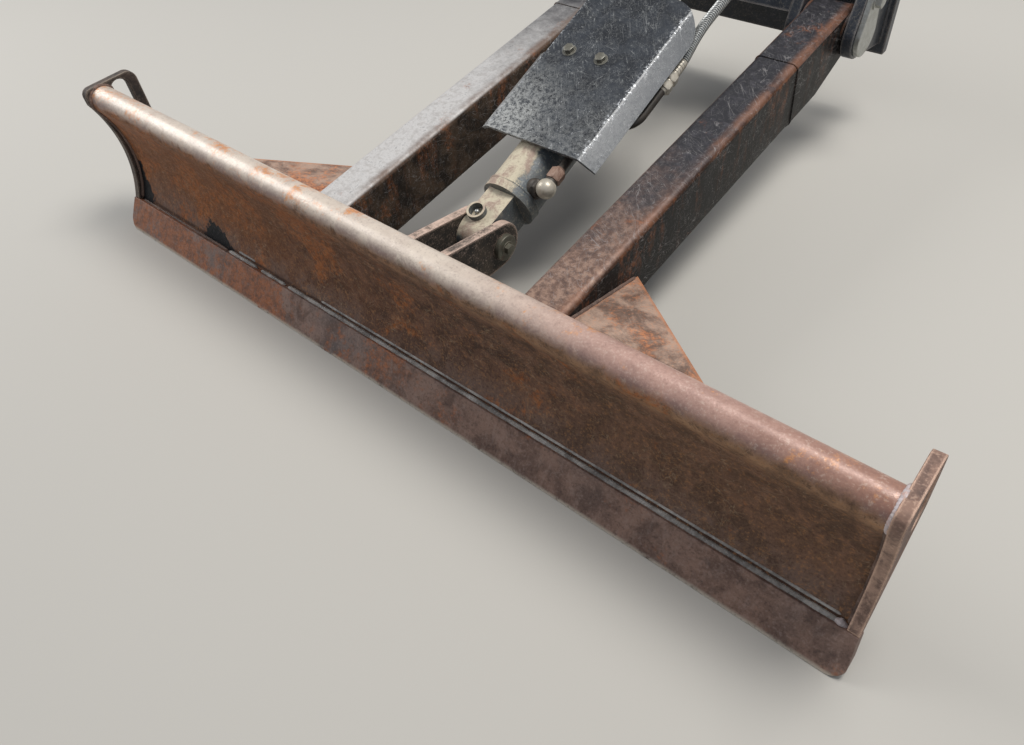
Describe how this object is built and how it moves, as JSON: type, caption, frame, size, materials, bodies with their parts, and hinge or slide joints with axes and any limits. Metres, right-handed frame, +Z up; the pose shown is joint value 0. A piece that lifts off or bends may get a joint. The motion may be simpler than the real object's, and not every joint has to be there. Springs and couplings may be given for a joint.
{
  "type": "levelling blade with lift cylinder",
  "caption": "Steel levelling blade for a compact excavator, with box push arms, a guarded lift cylinder and the frame nose whose pins carry it.",
  "frame": {"origin": "middle of the frame plate's rear face, where the nose goes onto the machine", "axes": "+Y to the rear, towards the machine; +Z up; +X to the blade's right-hand end seen from in front of it"},
  "size_m": [1.2345, 0.93, 0.35],
  "materials": {
    "edge_steel": "rusted and scoured rolled steel",
    "blade_steel": "rusted plate, bare where the soil wears it",
    "arm_paint": "black paint, worn and scratched",
    "guard_paint": "black paint, rubbed glossy, chipped at the fold",
    "cylinder_paint": "dusty grey paint",
    "frame_paint": "dark paint, worn at the edges",
    "pin_steel": "rust-stained turned steel",
    "pin_zinc": "dull zinc plate",
    "line_zinc": "dull zinc plate under dust",
    "hose_rubber": "black hose in a spring guard",
    "rod_chrome": "hard chrome"
  },
  "bodies": {
    "frame": {"frame_plate": "frame_paint", "nose_front": "frame_paint", "nose_top": "frame_paint", "nose_bottom": "frame_paint", "inner_lug_left": "frame_paint", "inner_lug_right": "frame_paint", "outer_lug_left": "frame_paint", "outer_lug_right": "frame_paint", "cylinder_lug_left": "frame_paint", "cylinder_lug_right": "frame_paint", "arm_pin_left": "pin_zinc", "arm_pin_right": "pin_zinc", "rear_pin": "pin_steel"},
    "blade": {"cutting_edge": "edge_steel", "mouldboard": "blade_steel", "end_plate_left": "blade_steel", "end_plate_right": "blade_steel", "back_channel": "arm_paint", "arm_left": "arm_paint", "arm_right": "arm_paint", "arm_end_left": "arm_paint", "arm_end_right": "arm_paint", "gusset_left": "blade_steel", "gusset_right": "blade_steel", "clevis_plate_left": "blade_steel", "clevis_plate_right": "blade_steel", "clevis_pin": "pin_steel"},
    "barrel": {"base_eye": "cylinder_paint", "barrel": "cylinder_paint", "gland": "cylinder_paint", "cylinder_guard": "guard_paint", "guard_bracket": "guard_paint", "port_elbows": "line_zinc", "pressure_pipe": "line_zinc", "hose_fitting": "line_zinc", "hose_left": "hose_rubber", "hose_right": "hose_rubber", "hose_end_left": "line_zinc", "hose_end_right": "line_zinc"},
    "rod": {"piston_rod": "rod_chrome", "rod_eye": "cylinder_paint"}
  },
  "joints": [
    {"name": "blade_lift", "type": "hinge", "parent": "frame", "child": "blade", "pos_m": [0, -0.107, -0.051], "axis": [-1, 0, 0], "range_deg": [-13.7, 19.1]},
    {"name": "barrel_tilt", "type": "hinge", "parent": "blade", "child": "barrel", "pos_m": [0, -0.712, -0.127], "axis": [-1, 0, 0], "range_deg": [-0.6, 0.8]},
    {"name": "rod_slide", "type": "slide", "parent": "barrel", "child": "rod", "axis": [0, 0.9482, 0.3177], "range_m": [-0.0395, 0.0285]}
  ],
  "couplings": [
    {"joint": "barrel_tilt", "follows": "blade_lift", "ratio": 0.040418},
    {"joint": "rod_slide", "follows": "blade_lift", "m_per_rad": -0.11716}
  ]
}
